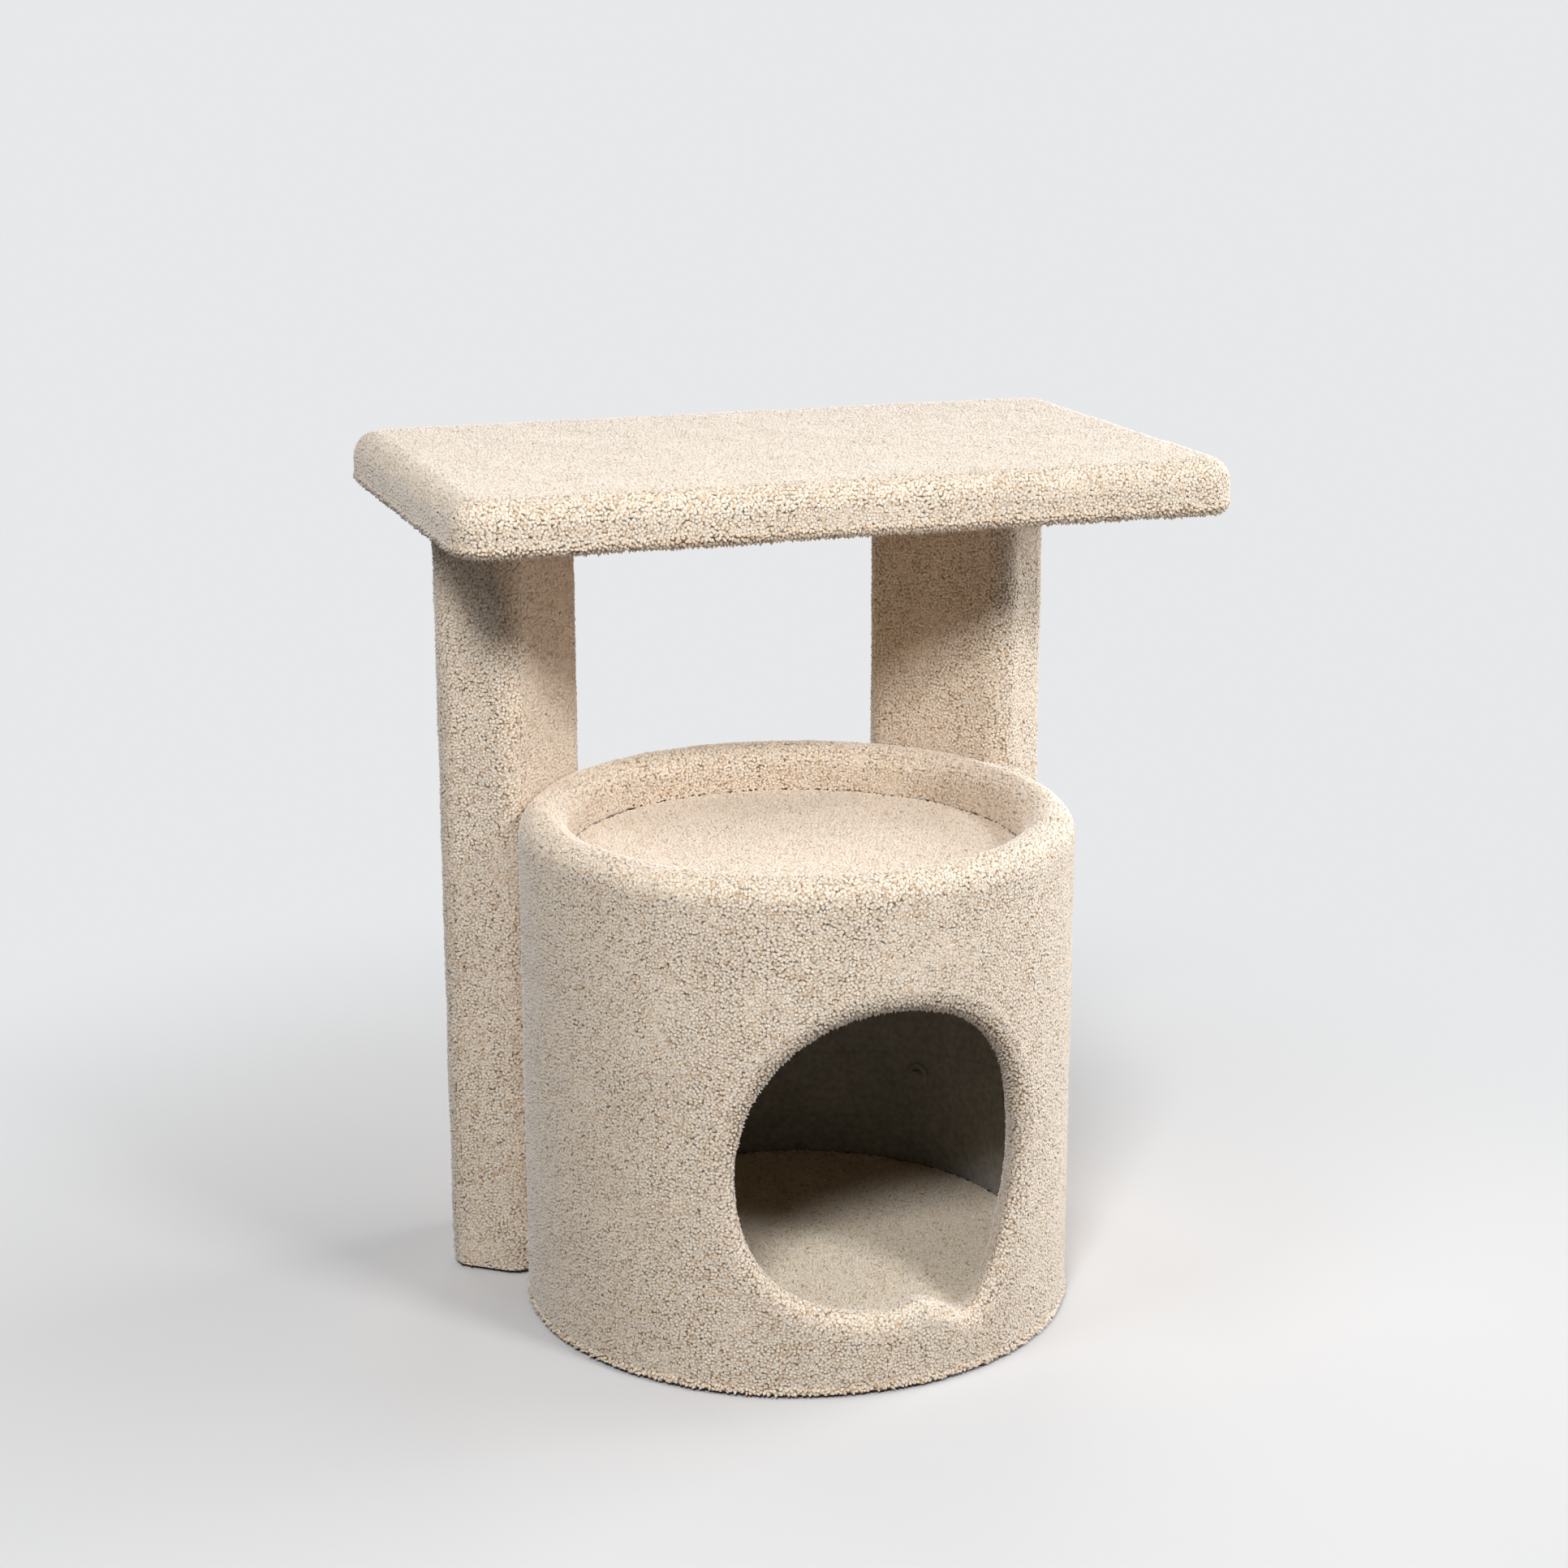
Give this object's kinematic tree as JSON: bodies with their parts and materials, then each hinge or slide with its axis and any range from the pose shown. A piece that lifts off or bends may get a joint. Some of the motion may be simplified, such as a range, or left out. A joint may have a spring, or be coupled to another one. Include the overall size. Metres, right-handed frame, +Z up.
{
  "type": "cat condo",
  "caption": "Carpeted cat condo: drum cabin with a round entrance and a recessed sleeping tray on top, and posts behind it that carry a flat shelf.",
  "frame": {"origin": "on the floor at the drum's axis, at the middle of the base board's underside", "axes": "+Z up; -Y is the front, where the entrance is; +X to the right seen from the front"},
  "size_m": [0.514, 0.4529, 0.544],
  "materials": {
    "carpet": "beige cut-pile carpet with cream, tan and brown flecks",
    "fibre_tube": "bare brown wound fibre board",
    "board": "raw plywood",
    "timber": "planed softwood",
    "steel": "zinc plated"
  },
  "bodies": {
    "root": {"drum_tube": "fibre_tube", "base_board": "board", "floor_carpet": "carpet", "tray_board": "board", "tray_carpet": "carpet", "drum_carpet": "carpet", "left_post": "timber", "right_post": "timber", "left_post_carpet": "carpet", "right_post_carpet": "carpet", "shelf_board": "board", "shelf_carpet": "carpet", "shelf_screws": "steel", "left_drum_screws": "steel", "right_drum_screws": "steel", "left_drum_washers": "steel", "right_drum_washers": "steel", "base_board_screws": "steel", "tray_board_screws": "steel", "shelf_staples": "steel", "flap_staples": "steel"}
  },
  "joints": []
}
